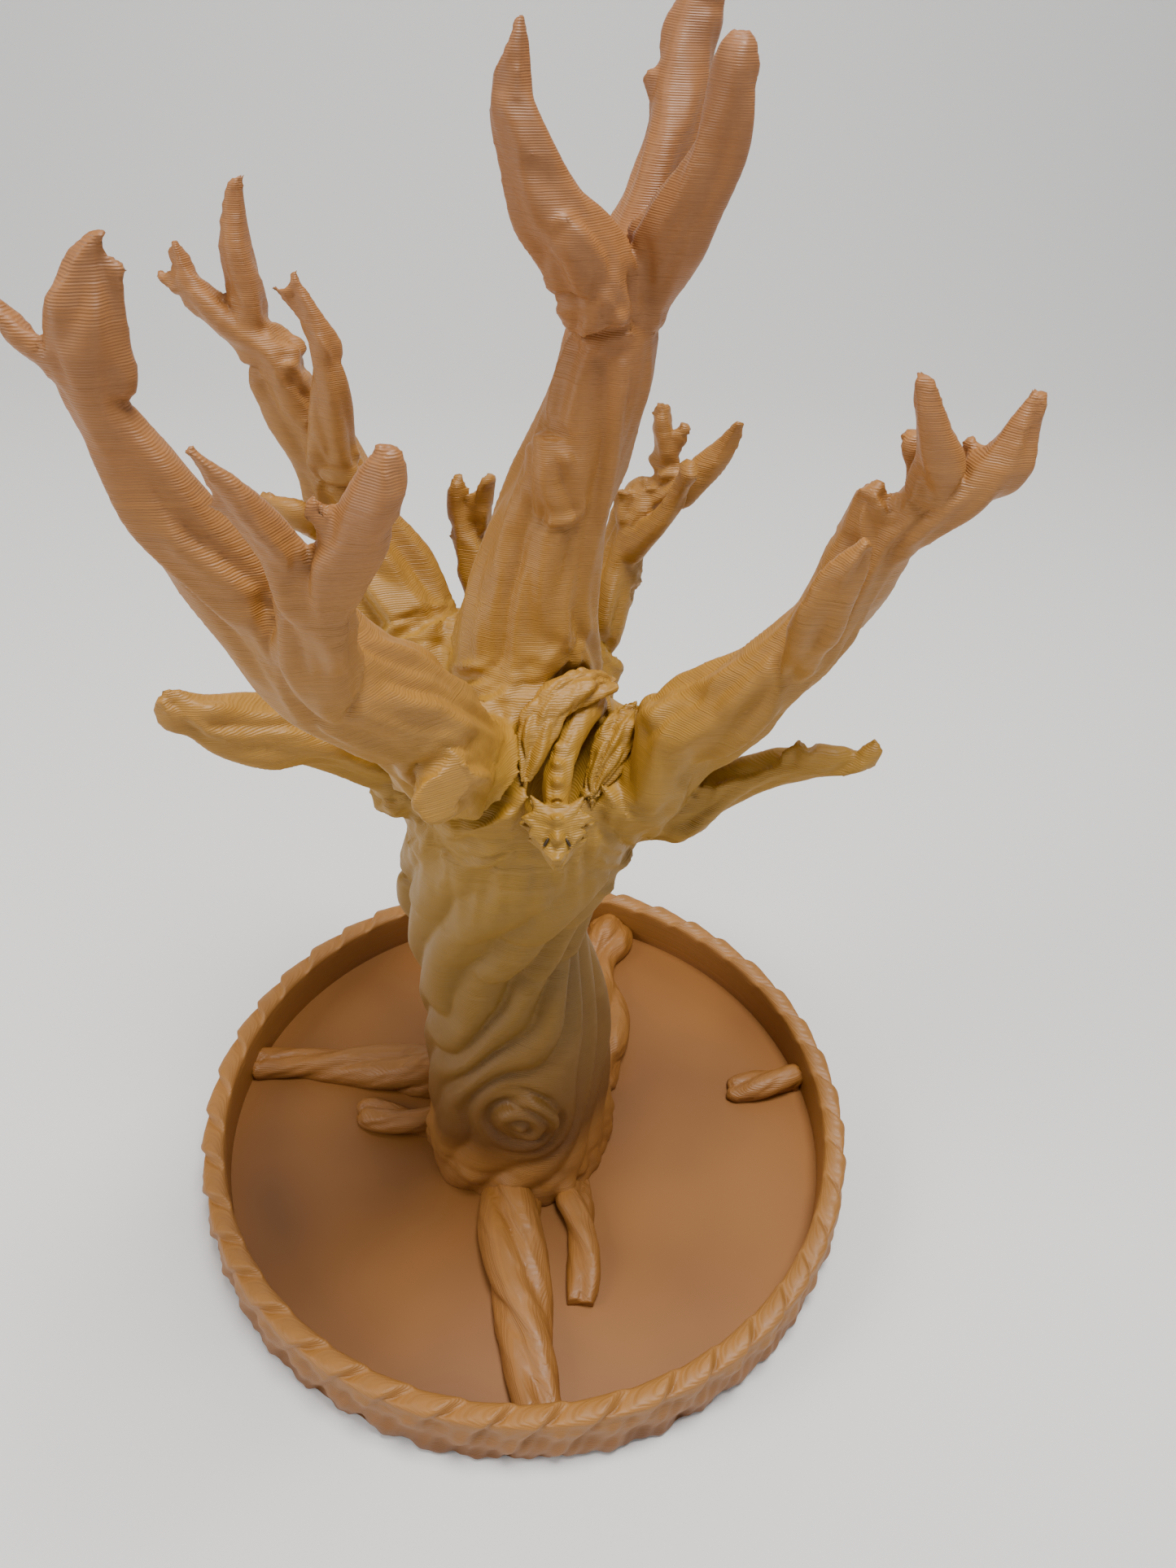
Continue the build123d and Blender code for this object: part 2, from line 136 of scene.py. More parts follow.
def layered_pla():
    """Satin filament: its colour follows the height, with fine printed layer lines."""
    material = bpy.data.materials.new("layered_pla")
    material.use_nodes = True
    nodes = material.node_tree.nodes
    link = material.node_tree.links.new
    surface = nodes["Principled BSDF"]
    surface.inputs["Specular IOR Level"].default_value = 0.5
    place = nodes.new("ShaderNodeTexCoord").outputs["Object"]
    split = nodes.new("ShaderNodeSeparateXYZ")
    link(place, split.inputs[0])

    # the gradient, which wanders a little in height
    wander = nodes.new("ShaderNodeTexNoise")
    wander.inputs["Scale"].default_value = 18
    link(place, wander.inputs["Vector"])
    height = multiply_add(nodes, GRADIENT_WANDER)
    link(wander.outputs["Fac"], height.inputs[0])
    link(split.outputs["Z"], height.inputs[2])
    scaled = multiply_add(nodes, 1 / GRADIENT_TOP, -GRADIENT_WANDER / 2 / GRADIENT_TOP)
    link(height.outputs[0], scaled.inputs[0])
    ramp = nodes.new("ShaderNodeValToRGB")
    height_ramp(ramp.color_ramp)
    link(scaled.outputs[0], ramp.inputs[0])

    # shade from layer to layer: noise pressed flat
    pressed = nodes.new("ShaderNodeMapping")
    pressed.inputs["Scale"].default_value = (6, 6, 2600)
    link(place, pressed.inputs["Vector"])
    layers = nodes.new("ShaderNodeTexNoise")
    layers.inputs["Scale"].default_value = 1.0
    layers.inputs["Detail"].default_value = 3
    link(pressed.outputs[0], layers.inputs["Vector"])
    shade = map_range(nodes, 0.9, 1.06, 0.3, 0.7)
    link(layers.outputs["Fac"], shade.inputs["Value"])
    tint = nodes.new("ShaderNodeMix")
    tint.data_type = "RGBA"
    tint.blend_type = "MULTIPLY"
    tint.inputs["Factor"].default_value = 1.0
    link(ramp.outputs["Color"], tint.inputs[6])
    link(shade.outputs[0], tint.inputs[7])
    link(tint.outputs[2], surface.inputs["Base Color"])
    rough = map_range(nodes, SATIN - 0.06, SATIN + 0.1)
    link(layers.outputs["Fac"], rough.inputs["Value"])
    link(rough.outputs[0], surface.inputs["Roughness"])

    # the printed layers as a fine bump
    ridge = nodes.new("ShaderNodeMath")
    ridge.operation = "PINGPONG"
    ridge.inputs[1].default_value = LAYER_HEIGHT
    link(split.outputs["Z"], ridge.inputs[0])
    lines = multiply_add(nodes, 2200.0)
    link(ridge.outputs[0], lines.inputs[0])
    link(layers.outputs["Fac"], lines.inputs[2])
    bump = nodes.new("ShaderNodeBump")
    bump.inputs["Strength"].default_value = 0.75
    bump.inputs["Distance"].default_value = LAYER_BUMP
    link(lines.outputs[0], bump.inputs["Height"])
    link(bump.outputs[0], surface.inputs["Normal"])
    return material


def plain_material(name, colour, roughness):
    """A single-colour material, its colour given in linear values."""
    material = bpy.data.materials.new(name)
    material.use_nodes = True
    surface = material.node_tree.nodes["Principled BSDF"]
    surface.inputs["Base Color"].default_value = (*colour, 1)
    surface.inputs["Roughness"].default_value = roughness
    return material


PLA = layered_pla()


# ---------------------------------------------------------------- meshes
def smoothstep(x, low, high):
    """0 below low, 1 above high, and an even S between them."""
    t = np.clip((x - low) / (high - low), 0, 1)
    return t * t * (3 - 2 * t)


def unit(vector):
    return vector / np.linalg.norm(vector)


def unit_rows(vectors):
    return vectors / np.linalg.norm(vectors, axis=1, keepdims=True)


def node_points(name):
    """A CAD node's vertices."""
    return np.array([v.co for v in frame["nodes"][name].data.vertices])


def node_mesh(name):
    """A CAD node as corners and triangles."""
    mesh = frame["nodes"][name].data
    corners = np.zeros(len(mesh.vertices) * 3, np.float32)
    mesh.vertices.foreach_get("co", corners)
    mesh.calc_loop_triangles()
    triangles = np.zeros(len(mesh.loop_triangles) * 3, np.int32)
    mesh.loop_triangles.foreach_get("vertices", triangles)
    return corners.reshape(-1, 3).tolist(), triangles.reshape(-1, 3).tolist()


def merged(parts):
    """Several (corners, faces) pairs as one."""
    corners, faces = [], []
    for part_corners, part_faces in parts:
        base = len(corners)
        corners += [tuple(p) for p in part_corners]
        faces += [[k + base for k in face] for face in part_faces]
    return corners, faces


def new_object(name, corners, faces):
    """A mesh object in the scene."""
    data = bpy.data.meshes.new(name)
    data.from_pydata(corners, [], faces)
    obj = bpy.data.objects.new(name, data)
    bpy.context.scene.collection.objects.link(obj)
    return obj


def voxel_skin(name, parts, voxel, smooth_rounds, weld=True):
    """The (corners, faces) parts as one closed skin, voxel by voxel, its corners eased."""
    obj = new_object(name, *merged(parts))
    raw = obj.data
    if weld:
        obj.modifiers.new("weld", "WELD").merge_threshold = 1e-6
    remesh = obj.modifiers.new("remesh", "REMESH")
    remesh.mode = "VOXEL"
    remesh.voxel_size = voxel
    ease = obj.modifiers.new("ease", "SMOOTH")
    ease.factor = 0.5
    ease.iterations = smooth_rounds
    bpy.context.view_layer.update()
    evaluated = obj.evaluated_get(bpy.context.evaluated_depsgraph_get())
    obj.data = bpy.data.meshes.new_from_object(evaluated)
    obj.modifiers.clear()
    bpy.data.meshes.remove(raw)
    obj.data.name = name
    return obj


def finish_piece(obj, slot, body, *replaced, material=PLA):
    """Gives a piece its material and the CAD body and nodes it stands for."""
    obj.data.shade_smooth()
    obj.data.materials.clear()
    obj.data.materials.append(material)
    if replaced:
        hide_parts(*replaced)
    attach(obj, body)


def swept(path, side, up, radii, sides):
    """Rings round the points of a path, joined up and closed at both ends."""
    corners = []
    for centre, s, u, radius in zip(path, side, up, radii):
        for q in range(sides):
            angle = 2 * math.pi * q / sides
            corners.append(centre + radius * (s * math.cos(angle) + u * math.sin(angle)))
    faces = []
    for k in range(len(path) - 1):
        for q in range(sides):
            w = (q + 1) % sides
            faces.append((k * sides + q, (k + 1) * sides + q, (k + 1) * sides + w, k * sides + w))
    last = (len(path) - 1) * sides
    faces.append(tuple(range(sides)))
    faces.append(tuple(range(last + sides - 1, last - 1, -1)))
    return corners, faces


def tube(path, radii, sides=14):
    """A closed tube through the path, as corners and faces."""
    along = unit_rows(np.gradient(path, axis=0))
    side = unit_rows(np.cross(along, [0, 0, 1.0]))
    return swept(path, side, np.cross(side, along), radii, sides)


class Skin:
    """A mesh as arrays, with the averages over neighbours that the folds are made from."""

    SELF_WEIGHT = 0.35

    def __init__(self, obj):
        self.mesh = obj.data
        self.count = len(self.mesh.vertices)
        co = np.zeros(self.count * 3, np.float32)
        self.mesh.vertices.foreach_get("co", co)
        self.co = co.reshape(-1, 3).astype(float)
        ends = np.zeros(len(self.mesh.edges) * 2, np.int32)
        self.mesh.edges.foreach_get("vertices", ends)
        ends = ends.reshape(-1, 2)
        self.here = np.concatenate([ends[:, 0], ends[:, 1]])
        self.there = np.concatenate([ends[:, 1], ends[:, 0]])
        self.read_normals()

    def read_normals(self):
        normal = np.zeros(self.count * 3, np.float32)
        self.mesh.vertex_normals.foreach_get("vector", normal)
        self.normal = normal.reshape(-1, 3).astype(float)

    def write(self):
        self.mesh.vertices.foreach_set("co", self.co.astype(np.float32).ravel())
        self.mesh.update()
        self.read_normals()

    def average(self, values):
        """The mean of each vertex's neighbours and, with less weight, itself."""
        total = np.bincount(self.here, minlength=self.count) + self.SELF_WEIGHT
        columns = []
        for column in values.T:
            around = np.bincount(self.here, weights=column[self.there], minlength=self.count)
            columns.append((around + self.SELF_WEIGHT * column) / total)
        return np.stack(columns, 1)

    def grain(self, rounds):
        """The direction each limb runs in: the one its normals don't turn towards."""
        pairs = [(0, 0), (0, 1), (0, 2), (1, 1), (1, 2), (2, 2)]
        spread = np.stack([self.normal[:, a] * self.normal[:, b] for a, b in pairs], 1)
        for _ in range(rounds):
            spread = self.average(spread)
        tensor = np.zeros((self.count, 3, 3))
        for k, (a, b) in enumerate(pairs):
            tensor[:, a, b] = spread[:, k]
            tensor[:, b, a] = spread[:, k]
        along = np.linalg.eigh(tensor)[1][:, :, 0]
        along *= np.sign(along[:, 2:3] + 1e-9)
        along -= self.normal * np.sum(along * self.normal, 1, keepdims=True)
        return along / np.maximum(np.linalg.norm(along, axis=1, keepdims=True), 1e-9)

    def turned(self, along, degrees):
        """The grain turned about the normal."""
        angle = math.radians(degrees)
        return along * math.cos(angle) + np.cross(self.normal, along) * math.sin(angle)

    def push(self, distance):
        """Moves every vertex out along its normal."""
        self.co = self.co + self.normal * distance[:, None]
        self.write()

    def relax(self):
        """Eases single-vertex noise."""
        self.co = self.average(self.co)
        self.write()


LATTICE = (41, 43, 47)


def noise(points, cell, seed):
    """Smooth random values on a lattice of the given cell size."""
    lattice = np.random.default_rng(seed).standard_normal(LATTICE)
    spot = points / cell + 100.0
    low = np.floor(spot).astype(int)
    f = spot - low
    f = f * f * (3 - 2 * f)
    total = np.zeros(len(points))
    for corner in np.ndindex(2, 2, 2):
        weight = np.ones(len(points))
        index = []
        for axis, high in enumerate(corner):
            weight = weight * (f[:, axis] if high else 1 - f[:, axis])
            index.append((low[:, axis] + high) % LATTICE[axis])
        total += weight * lattice[tuple(index)]
    return total


def drawn(points, along, cell, reach, seed, steps=17):
    """Noise smeared along the grain, so that it makes long folds. Unit spread."""
    total = np.zeros(len(points))
    for t in np.linspace(-1, 1, steps):
        total += (1 - t * t) * noise(points + along * (t * reach), cell, seed)
    return (total - total.mean()) / total.std()


def near(points, centre, radius):
    """1 at the centre, falling to 0 about two radii away."""
    return np.exp(-((np.linalg.norm(points - centre, axis=1) / radius) ** 2))


# ---------------------------------------------------------------- tree
DRAGON_NODES = ("dragon_neck", "dragon_head", "dragon_left_wing", "dragon_right_wing")
TREE_NODES = [n for n, o in frame["nodes"].items() if o["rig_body"] == "tree" and n not in DRAGON_NODES]

trunk_points = node_points("trunk")
trunk_foot = trunk_points[trunk_points[:, 2] < TRUNK[0].z + 4 * MM].mean(0)
trunk_top = trunk_points[trunk_points[:, 2] > TRUNK[1].z - 4 * MM].mean(0)
trunk_knot = trunk_points[trunk_points[:, 1] < TRUNK[0].y + 1 * MM].mean(0)

stub_points = node_points("front_stub")
stub_root = stub_points[stub_points[:, 1] > stub_points[:, 1].max() - 6 * MM].mean(0)
stub_tip = stub_points[stub_points[:, 1] < stub_points[:, 1].min() + 4 * MM].mean(0)
stub_end = stub_tip + np.array([-2.5, -3.5, 0.5]) * MM


def seam_filling():
    """A plug inside the seam between trunk and crown, which the print doesn't show."""
    steps = np.linspace(-1, 1, 9)
    path = trunk_top + np.outer(steps, np.array([1.5, -1.5, 12.0]) * MM)
    return tube(path, np.full(len(steps), 23.6 * MM), 40)


def stub_filling():
    """The broken stub in front, drawn out a little past its CAD piece."""
    share = np.linspace(0, 1, 12)
    path = stub_root + np.outer(share, stub_end - stub_root)
    return tube(path, (5.6 - 1.3 * share) * MM, 24)


def trunk_folds(co, axis_x, axis_y):
    """Draped folds that climb the trunk and part round the swirl knot on its front."""
    girth = 26.0
    knot_reach = 28 * MM
    lean = math.radians(34)
    fold_count = 11
    x, y, z = co.T
    # the trunk unrolled: u across its front, v up, both in mm from the knot
    turn = np.arctan2(x - axis_x, -(y - axis_y)) - math.atan2(trunk_knot[0] - trunk_foot[0], knot_reach)
    u = girth * turn
    v = (z - trunk_knot[2]) / MM
    pitch = 2 * math.pi * girth * math.cos(lean) / fold_count
    across_folds = u * math.cos(lean) - v * math.sin(lean)
    from_knot = np.hypot(u, v * 0.9)
    part = np.clip((14.0 / np.maximum(from_knot, 12.0)) ** 2, 0, 1) * np.exp(-((from_knot / 38) ** 2))
    stream = across_folds * (1 - part) + 3.2 * noise(co, 26 * MM, 3) + noise(co, 11 * MM, 4)
    drape = np.abs(np.cos(math.pi * stream / pitch)) * 2 - 1.2
    drape *= 0.75 + 0.35 * noise(co, 30 * MM, 5)
    rings = np.abs(np.cos(math.pi * (from_knot + 0.2 * u) / 5.2)) * 2 - 1.1
    in_knot = 1 - smoothstep(from_knot, 10.5, 15.0)
    return drape * (1 - in_knot) + 0.8 * rings * in_knot


def limb_folds(co, along):
    """Long soft folds and creases that run with the limbs."""
    long_fold = drawn(co, along, 5 * MM, 30 * MM, 11)
    crease = np.abs(drawn(co, along, 4 * MM, 22 * MM, 12))
    fine = drawn(co, along, 2 * MM, 9 * MM, 13)
    return 0.8 * np.tanh(1.2 * long_fold) + 0.7 * (crease - crease.mean()) + 0.18 * fine


def bevel_stub(skin, at_stub):
    """The stub's slanting break, cut into the vertices that at_stub marks."""
    snap = unit(unit(stub_end - stub_root) + np.array([0.7, 0.0, -0.1]))
    past = np.clip((skin.co - stub_end) @ snap + 1.6 * MM, 0, None) * at_stub
    skin.co = skin.co - np.outer(past * 0.9, snap)
    skin.relax()


def make_tree():
    parts = [node_mesh(n) for n in TREE_NODES] + [seam_filling(), stub_filling()]
    tree = voxel_skin("tree_skin", parts, TREE_VOXEL, 3)
    skin = Skin(tree)
    co, z = skin.co, skin.co[:, 2]
    along = skin.turned(skin.grain(60), 8.0)
    rise = (z - trunk_foot[2]) / (trunk_top[2] - trunk_foot[2])
    axis_x = trunk_foot[0] + (trunk_top[0] - trunk_foot[0]) * rise
    axis_y = trunk_foot[1] + (trunk_top[1] - trunk_foot[1]) * rise
    from_axis = np.hypot(co[:, 0] - axis_x, co[:, 1] - axis_y)

    # the folds are calmer in the crotch, round the dragon and round the stub
    hub = np.exp(-((from_axis / (30 * MM)) ** 2)) * np.exp(-(((z - 0.160) / 0.022) ** 2))
    nest = (np.array(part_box("dragon_head")[0]) + np.array(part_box("dragon_left_wing")[1])) / 2
    calm = 1 - 0.55 * hub
    calm *= 1 - 0.9 * near(co, nest, 19 * MM)
    calm *= 1 - 0.7 * near(co, stub_end, 12 * MM)

    on_trunk = 1 - smoothstep(z, 0.118, 0.150)
    thin = smoothstep(z, 0.17, 0.29)
    skirt = 1 - smoothstep(z, FLOOR_Z + 3 * MM, FLOOR_Z + 20 * MM)
    ragged = np.abs(noise(co, 5 * MM, 21))
    push = 1.6 * trunk_folds(co, axis_x, axis_y) * on_trunk * (1 - 0.5 * skirt)
    push += 1.5 * calm * limb_folds(co, along) * (1 - on_trunk) * (1 - 0.4 * thin)
    push += skirt * (0.9 + 1.3 * ragged)
    at_stub = np.linalg.norm(co - stub_end, axis=1) < 9 * MM
    skin.push(push * MM)
    bevel_stub(skin, at_stub)
    finish_piece(tree, "limb_pla", "tree", *TREE_NODES)


make_tree()

# ---------------------------------------------------------------- roots
ROOT_NODES = [n for n in frame["nodes"] if n.startswith("root_")]
# strands and their twist in radians per mm; the stubs and the curl have two strands
ROOT_TWIST = {"root_front": (3, 0.055), "root_rear": (3, -0.06), "root_left": (3, 0.06)}
STUB_TWIST = (2, 0.07)
ROOT_BANDS = 26
ROOT_STEPS = 60
UNDER_SKIRT = (2, 4, 6, 8)


def root_path(node):
    """The middle line of a CAD root and its half width along it."""
    points = node_points(node)
    size = points.max(0) - points.min(0)
    main = 0 if size[0] > size[1] else 1
    cross = 1 - main
    low, high = points[:, main].min(), points[:, main].max()
    marks, middles, halves = [], [], []
    for k in range(ROOT_BANDS):
        mark = low + (high - low) * (k + 0.5) / ROOT_BANDS
        band = points[np.abs(points[:, main] - mark) < (high - low) * 0.05]
        if len(band) < 6:
            continue
        a, b = band[:, cross].min(), band[:, cross].max()
        marks.append(mark)
        middles.append((a + b) / 2)
        halves.append((b - a) / 2)
    reach = np.linspace(low, high, ROOT_STEPS)
    middle = np.interp(reach, marks, middles)
    half = np.interp(reach, marks, halves)
    for _ in range(6):
        for line in (middle, half):
            line[1:-1] = (line[:-2] + line[1:-1] + line[2:]) / 3
    path = np.full((ROOT_STEPS, 3), FLOOR_Z)
    path[:, main] = reach
    path[:, cross] = middle
    return path, half


def under_the_skirt(path, half):
    """Carries a root that starts at the trunk on under the trunk's skirt."""
    ends = np.hypot(path[[0, -1], 0] - trunk_foot[0], path[[0, -1], 1] - trunk_foot[1])
    if min(ends) >= 36 * MM:
        return path, half
    nearest = 0 if ends[0] < ends[1] else -1
    inward = trunk_foot - path[nearest]
    inward[2] = 0
    inward = unit(inward)
    extra = [path[nearest] + inward * d * MM for d in UNDER_SKIRT]
    if nearest == 0:
        return np.vstack([extra[::-1], path]), np.concatenate([[half[0]] * len(extra), half])
    return np.vstack([path, extra]), np.concatenate([half, [half[-1]] * len(extra)])


def root_strands(node):
    """Two or three strands twisted together along a root."""
    strands, twist = ROOT_TWIST.get(node, STUB_TWIST)
    path, half = under_the_skirt(*root_path(node))
    side = np.cross(unit_rows(np.gradient(path, axis=0)), [0, 0, 1.0])
    run = np.concatenate([[0], np.cumsum(np.linalg.norm(np.diff(path, axis=0), axis=1))])
    tubes = []
    for k in range(strands):
        angle = twist * run / MM + 2 * math.pi * k / strands
        centre = path + side * (np.cos(angle) * 0.46 * half)[:, None]
        centre[:, 2] += (0.30 + 0.24 * np.sin(angle)) * half
        tubes.append(tube(centre, 0.58 * half))
    return tubes


def make_roots():
    strands = [strand for node in ROOT_NODES for strand in root_strands(node)]
    roots = voxel_skin("roots_skin", strands, ROOT_VOXEL, 3, weld=False)
    skin = Skin(roots)
    along = skin.turned(skin.grain(30), 18.0)
    skin.push(0.28 * np.tanh(drawn(skin.co, along, 2.2 * MM, 12 * MM, 31)) * MM)
    finish_piece(roots, "tray_pla", "tray_base", *ROOT_NODES)


make_roots()

# ---------------------------------------------------------------- tray and rim
tray_materials = frame["nodes"]["tray"].data.materials
tray_materials.clear()
tray_materials.append(PLA)

RIM_LOBES = 44
STEPS_PER_LOBE = 26
PROFILE_STEPS = 72
WALL_THICKNESS = 3.5 * MM


def rim_profile():
    """Radius and height up the inner wall, over the low crown and down the outer wall."""
    outer = RIM[1].x - 0.9 * MM
    inner = TRAY[1].x - WALL_THICKNESS
    foot = RIM[0].z
    shoulder = RIM[1].z - 2.9 * MM
    middle = (inner + outer) / 2
    half = (outer - inner) / 2
    profile = [(inner + 0.02 * MM, shoulder - 6 * MM), (inner, shoulder - 2 * MM)]
    for angle in np.linspace(math.pi, 0, 13):
        rise = 2.3 * MM * abs(math.sin(angle)) ** 0.7
        profile.append((middle + half * math.cos(angle), shoulder + rise))
    for share in np.linspace(0, 1, 13)[1:]:
        profile.append((outer, shoulder - (shoulder - foot) * share))
    profile.append((outer - 2 * MM, foot))
    profile = np.array(profile)
    marks = np.arange(len(profile))
    dense = np.linspace(0, len(profile) - 1, PROFILE_STEPS)
    return np.stack([np.interp(dense, marks, profile[:, 0]), np.interp(dense, marks, profile[:, 1])], 1)


def rim_relief(around, s):
    """How far the surface stands out, in mm: laid leaves on top, knots on the wall."""
    wander = 0.5 * np.sin(3 * around + 1.0) + 0.35 * np.sin(7 * around) + 0.3 * np.sin(13 * around + 2)
    phase = RIM_LOBES * around + wander + 9.0 * s
    leaf = (phase / (2 * math.pi)) % 1.0
    rope = leaf ** 0.7 * (1 - smoothstep(leaf, 0.8, 1.0))
    ribs = np.cos(3 * phase + 2 * np.sin(5 * around))
    knots = np.sin(19 * around + 9 * s) * np.sin(31 * around - 14 * s)
    on_top = np.exp(-(((s - 0.34) / 0.2) ** 2))
    on_wall = smoothstep(s, 0.5, 0.62)
    relief = (2.7 * (rope - 0.6) + 0.05 * ribs) * on_top
    relief = relief + (1.1 * (rope - 0.6) + 0.8 * knots + 0.2 * ribs) * on_wall
    return relief * smoothstep(s, 0.03, 0.14)


def make_rim():
    profile = rim_profile()
    along = unit_rows(np.gradient(profile, axis=0))
    columns = RIM_LOBES * STEPS_PER_LOBE
    around = (np.arange(columns) * 2 * math.pi / columns)[:, None]
    relief = rim_relief(around, np.linspace(0, 1, PROFILE_STEPS)[None, :]) * MM
    radius = profile[:, 0] - relief * along[:, 1]
    height = profile[:, 1] + relief * along[:, 0]
    corners = np.stack([radius * np.cos(around), radius * np.sin(around), height], 2).reshape(-1, 3)
    index = np.arange(columns * PROFILE_STEPS).reshape(columns, PROFILE_STEPS)
    ahead = np.roll(index, -1, axis=0)
    quads = np.stack([index[:, :-1], ahead[:, :-1], ahead[:, 1:], index[:, 1:]], 2).reshape(-1, 4)
    rim = new_object("rim_rope", corners.tolist(), quads.tolist())
    finish_piece(rim, "tray_pla", "tray_base", "rim_wreath")


make_rim()

# ---------------------------------------------------------------- dragon
neck_points = node_points("dragon_neck")
head_points = node_points("dragon_head")
NECK_END = neck_points[neck_points[:, 1] < neck_points[:, 1].min() + 1.5 * MM].mean(0)
NOSE = unit(head_points[np.argmax(np.linalg.norm(head_points - NECK_END, axis=1))] - NECK_END)
crest = np.cross(X_AXIS, NOSE)
CREST = crest * np.sign(crest[2] - crest[1])

# One side of the head's flat kite, from nose to nape: mm to the side, mm towards the nose
KITE = [
    (0, 14.0),
    (2.3, 11.6),
    (4.3, 8.6),
    (6.1, 7.0),
    (5.0, 5.6),
    (8.0, 3.4),
    (5.0, 1.9),
    (6.0, -1.6),
    (2.6, 0.6),
    (0, 0.2),
]


def on_head(side, reach, lift):
    """A point given in mm: to the side, towards the nose, and up from the neck's end."""
    return NECK_END + X_AXIS * side * MM + NOSE * reach * MM + CREST * lift * MM


def kite_head():
    """The kite of the head, domed in the middle, its edge drawn out into spikes."""
    outline = KITE + [(-side, reach) for side, reach in KITE[-2:0:-1]]
    count = len(outline)
    corners = []
    for half_thick in (-0.9, 0.9):
        for side, reach in outline:
            thinned = 0.35 if abs(side) > 5.5 or reach > 13 else 1.0
            corners.append(on_head(side, reach, 0.9 + half_thick * thinned))
    corners.append(on_head(0, 5, -0.4))
    corners.append(on_head(0, 5, 3.4))
    below, above = 2 * count, 2 * count + 1
    faces = []
    for k in range(count):
        w = (k + 1) % count
        faces += [[k, w, count + w, count + k], [w, k, below], [count + k, count + w, above]]
    return corners, faces


def dragon_skin(name, nodes, extra, fold_reach, fold_depth, turn):
    """A fine skin over the CAD nodes, and the folds that run along it, in mm."""
    obj = voxel_skin(name, [node_mesh(n) for n in nodes] + extra, DRAGON_VOXEL, 2)
    skin = Skin(obj)
    along = skin.turned(skin.grain(40), turn)
    ridges = np.abs(drawn(skin.co, along, 1.7 * MM, fold_reach * MM, 41))
    fine = np.tanh(drawn(skin.co, along, 1 * MM, 4 * MM, 42))
    return obj, skin, fold_depth * (0.9 * (ridges - ridges.mean()) + 0.3 * fine)


def make_dragon_body():
    nodes = ["dragon_neck", "dragon_head"]
    obj, skin, push = dragon_skin("dragon_body_skin", nodes, [kite_head()], 5, 0.22, 8.0)
    back = np.clip(skin.normal @ CREST, 0, 1) ** 2
    reach = (skin.co - NECK_END) @ NOSE / MM
    side = np.abs((skin.co - NECK_END) @ X_AXIS) / MM
    # beads down the spine, and a groove under each brow
    beads = np.abs(np.cos(reach / 4.0 * math.pi)) ** 3 * np.exp(-((side / 1.1) ** 2))
    brow = np.exp(-(((side - 2.2 - 0.25 * (reach - 8)) / 0.55) ** 2)) * smoothstep(reach, 5, 7)
    push = push + 1.5 * back * beads - 0.5 * brow * back * (reach < 11)
    skin.push(push * MM)
    finish_piece(obj, "dragon_pla", "tree", *nodes)


def make_wing(side, turn):
    node = f"dragon_{side}_wing"
    obj, skin, push = dragon_skin(f"{node}_skin", [node], [], 12, 0.75, turn)
    skin.push(push * MM)
    finish_piece(obj, "dragon_pla", "tree", node)


def make_claw(side):
    """A small tapering, bowed claw at the foot of a wing."""
    points = node_points(f"dragon_{side}_wing")
    foot = points[points[:, 2] < points[:, 2].min() + 1.2 * MM].mean(0)
    start = foot + np.array([0, 0.3, 0.8]) * MM
    end = foot + np.array([0, -1.2, -3.4]) * MM
    t = np.linspace(0, 1, 9)
    bow = np.outer(4 * t * (1 - t), np.array([0, -0.7, 0]) * MM)
    path = start + np.outer(t, end - start) + bow
    radii = (0.75 - 0.6 * t ** 0.8) * MM
    axis = unit(end - start)
    ring_side = unit(np.cross(axis, [0.3, 0.2, 0.9]))
    ring_up = np.cross(ring_side, axis)
    corners, faces = swept(path, [ring_side] * len(t), [ring_up] * len(t), radii, 10)
    claw = new_object(f"claw_{side}", corners, faces)
    finish_piece(claw, "dragon_pla", "tree")


def make_eye(name, sign, material):
    """A dark slit of painted shade, standing for the shadow in the eye's recess; it slants up and out.
    """
    bpy.ops.mesh.primitive_uv_sphere_add(segments=20, ring_count=12, radius=1)
    eye = bpy.context.object
    eye.name = name
    slant = NOSE + X_AXIS * sign * 0.55
    shape = Matrix((X_AXIS * 0.4 * MM, slant * 0.95 * MM, CREST * 0.5 * MM)).transposed()
    centre = on_head(sign * 2.3, 8.7, 2.15)
    eye.data.transform(Matrix.Translation(centre) @ shape.to_4x4())
    finish_piece(eye, "dragon_pla", "tree", material=material)


make_dragon_body()
make_wing("left", 4.0)
make_wing("right", -4.0)
make_claw("left")
make_claw("right")
# painted shade: the eye slits get a near-black colour where the eye's recess lies in shadow
EYE_PAINTED_SHADE = plain_material("eye_painted_shade", (0.035, 0.018, 0.006), 0.45)
make_eye("eye_left", -1, EYE_PAINTED_SHADE)
make_eye("eye_right", 1, EYE_PAINTED_SHADE)


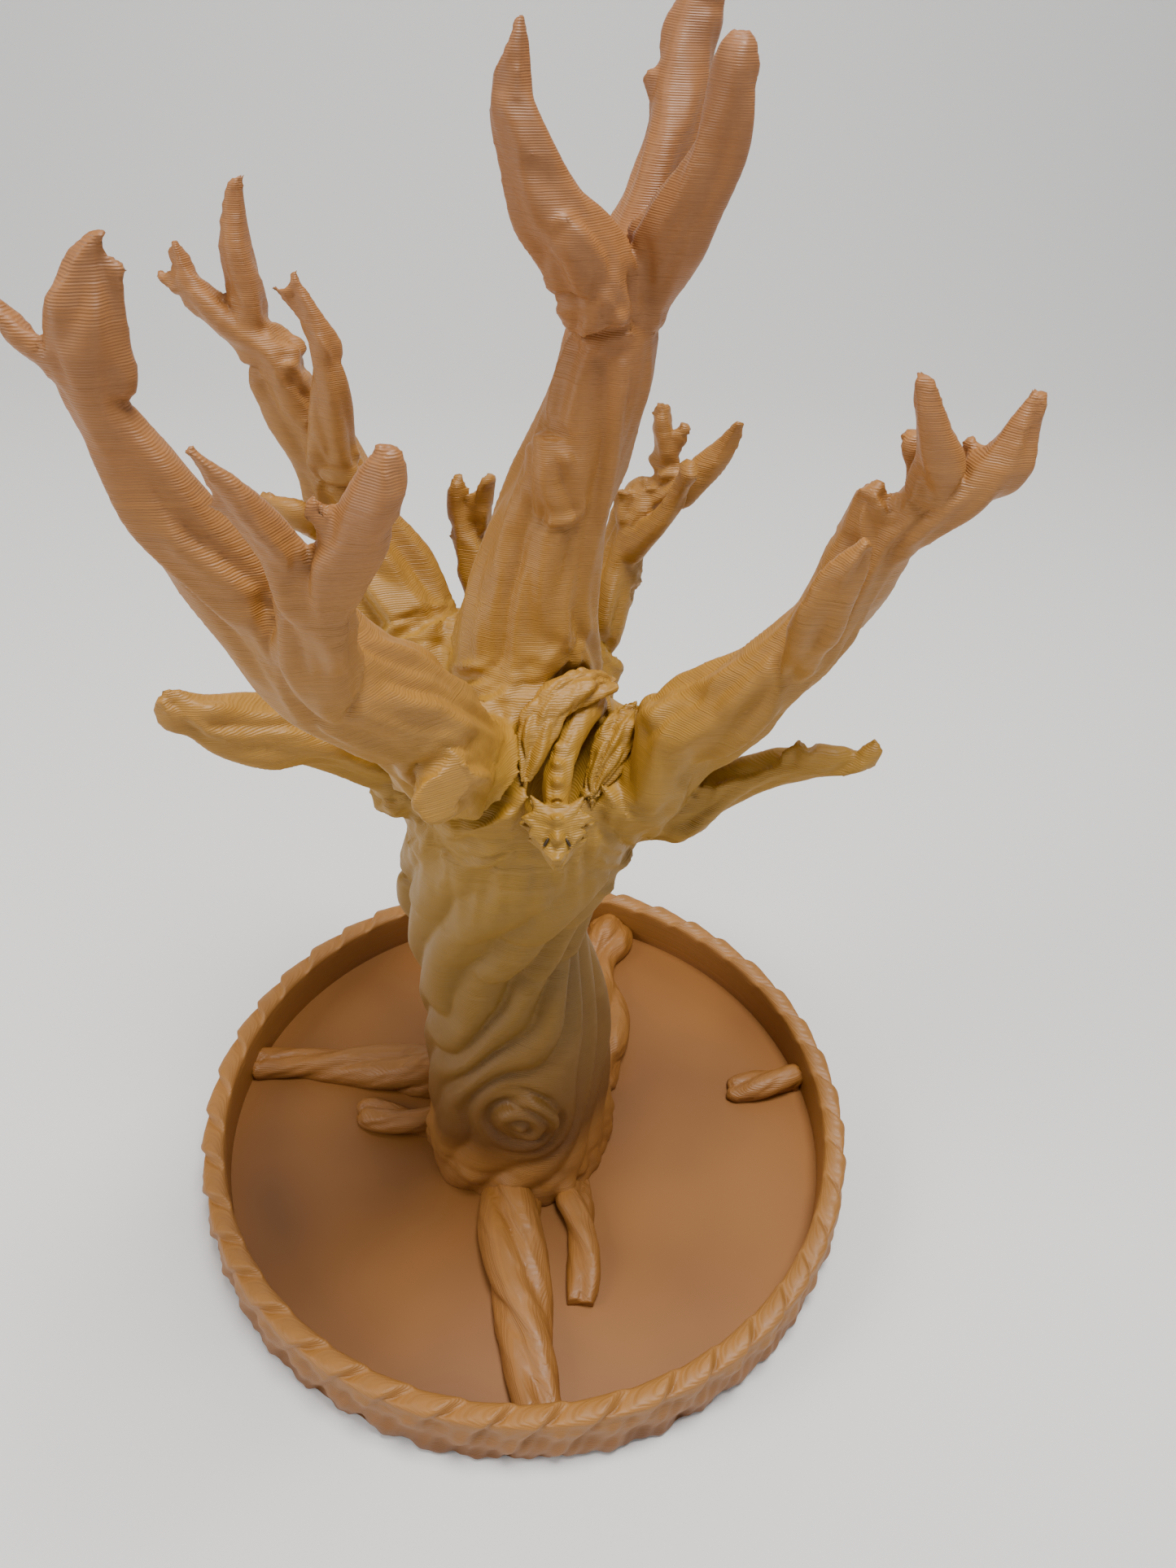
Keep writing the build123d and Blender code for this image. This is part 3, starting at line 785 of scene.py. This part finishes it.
# ---------------------------------------------------------------- setting
def make_floor():
    """A pale floor that curves up into a backdrop."""
    bend_start, bend_radius = 0.7, 0.5
    profile = [(-1.6, 0.0)]
    for angle in np.linspace(0, math.pi / 2, 13):
        rise = bend_radius - bend_radius * math.cos(angle)
        profile.append((bend_start + bend_radius * math.sin(angle), rise))
    profile.append((bend_start + bend_radius, 2.2))
    corners = [(x, y, z) for y, z in profile for x in (-2.5, 2.5)]
    faces = [(2 * k, 2 * k + 1, 2 * k + 3, 2 * k + 2) for k in range(len(profile) - 1)]
    floor = new_object("floor", corners, faces)
    floor.data.shade_smooth()
    floor.data.materials.append(plain_material("floor_paper", (0.88, 0.875, 0.87), 0.85))


def area_light(name, place, size, power, colour):
    """A round soft light aimed at the middle of the tree."""
    light = bpy.data.lights.new(name, "AREA")
    light.shape = "DISK"
    light.size = size
    light.energy = power
    light.color = colour
    obj = bpy.data.objects.new(name, light)
    obj.location = place
    aim = Vector((0, 0, 0.15)) - Vector(place)
    obj.rotation_euler = aim.to_track_quat("-Z", "Y").to_euler()
    bpy.context.scene.collection.objects.link(obj)


def make_world():
    world = bpy.data.worlds.new("studio")
    world.use_nodes = True
    background = world.node_tree.nodes["Background"]
    background.inputs["Color"].default_value = (0.95, 0.96, 1.0, 1)
    background.inputs["Strength"].default_value = 0.27
    bpy.context.scene.world = world


def make_camera():
    """The camera stands a little left of the front and looks down into the tray."""
    camera = bpy.data.cameras.new("camera")
    camera.lens = 26.15
    camera.sensor_width = 36
    camera.clip_start = 0.01
    view = bpy.data.objects.new("camera", camera)
    bpy.context.scene.collection.objects.link(view)
    right = Vector((0.9971, -0.0530, 0.0544))
    down = Vector((0.0102, -0.6164, -0.7873))
    ahead = Vector((0.0752, 0.7856, -0.6141))
    facing = Matrix((right, -down, -ahead)).transposed().to_4x4()
    view.matrix_world = Matrix.Translation((-0.0097, -0.2223, 0.3182)) @ facing
    bpy.context.scene.camera = view


make_floor()
area_light("key", (0.15, -0.05, 1.25), 0.5, 16.5, (1.0, 0.975, 0.94))
area_light("side", (-1.0, -0.3, 0.75), 0.6, 7.0, (1.0, 0.98, 0.95))
area_light("fill", (0.7, -1.0, 0.6), 0.9, 2.5, (0.95, 0.97, 1.0))
make_world()
make_camera()

bpy.context.view_layer.update()
